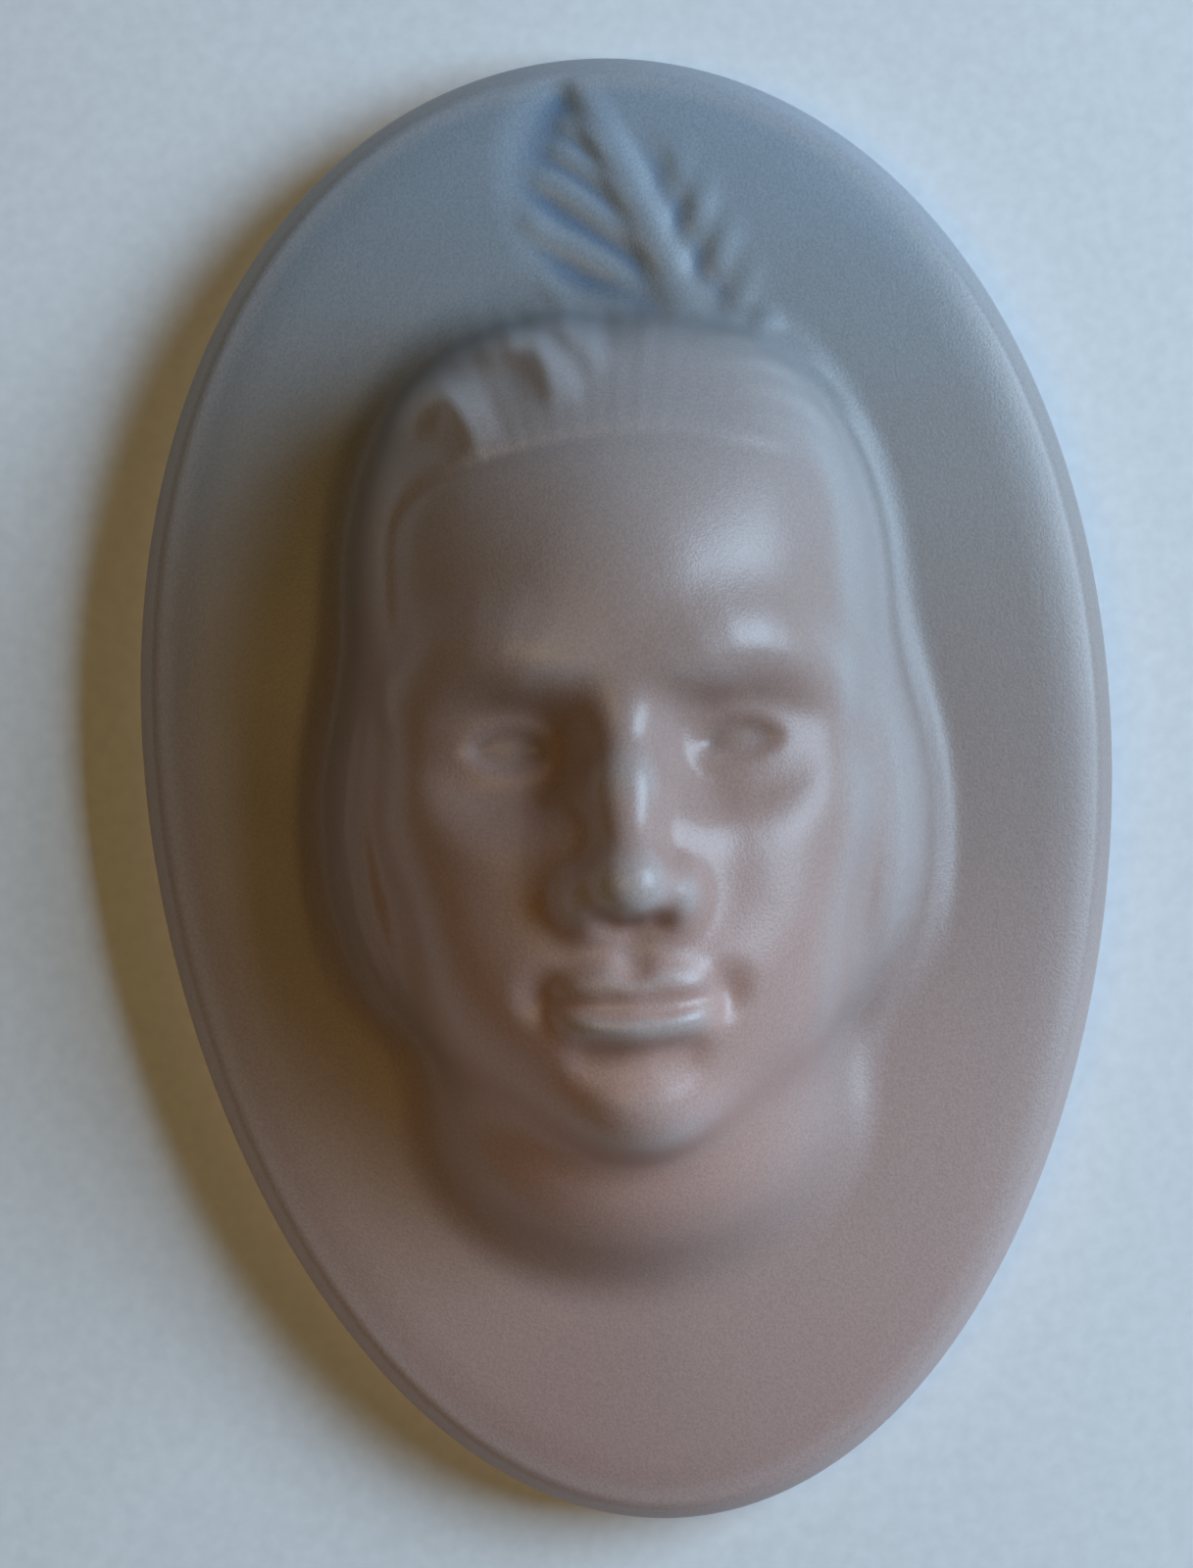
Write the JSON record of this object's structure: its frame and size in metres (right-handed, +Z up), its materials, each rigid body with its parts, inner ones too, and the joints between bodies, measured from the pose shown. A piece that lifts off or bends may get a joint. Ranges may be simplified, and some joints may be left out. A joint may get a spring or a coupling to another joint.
{
  "type": "ceramic head plaque",
  "caption": "Oval glazed ceramic wall plaque with a head in high relief, a feather in low relief above it, and a hollow back on a flat foot ring.",
  "frame": {"origin": "middle of the foot ring's flat face at its top, on the plaque's long axis, where the plaque meets the wall", "axes": "+Z up along the oval's long axis, +Y from the plaque into the wall, +X to the right as seen from the front"},
  "size_m": [0.0926, 0.0412, 0.14],
  "materials": {
    "matte_glaze": "satin-matte glaze, slate blue at the top fading to dusty rose at the bottom, blue in the recesses and pale on the edges"
  },
  "bodies": {
    "root": {"head_plaque": "matte_glaze"}
  },
  "joints": []
}
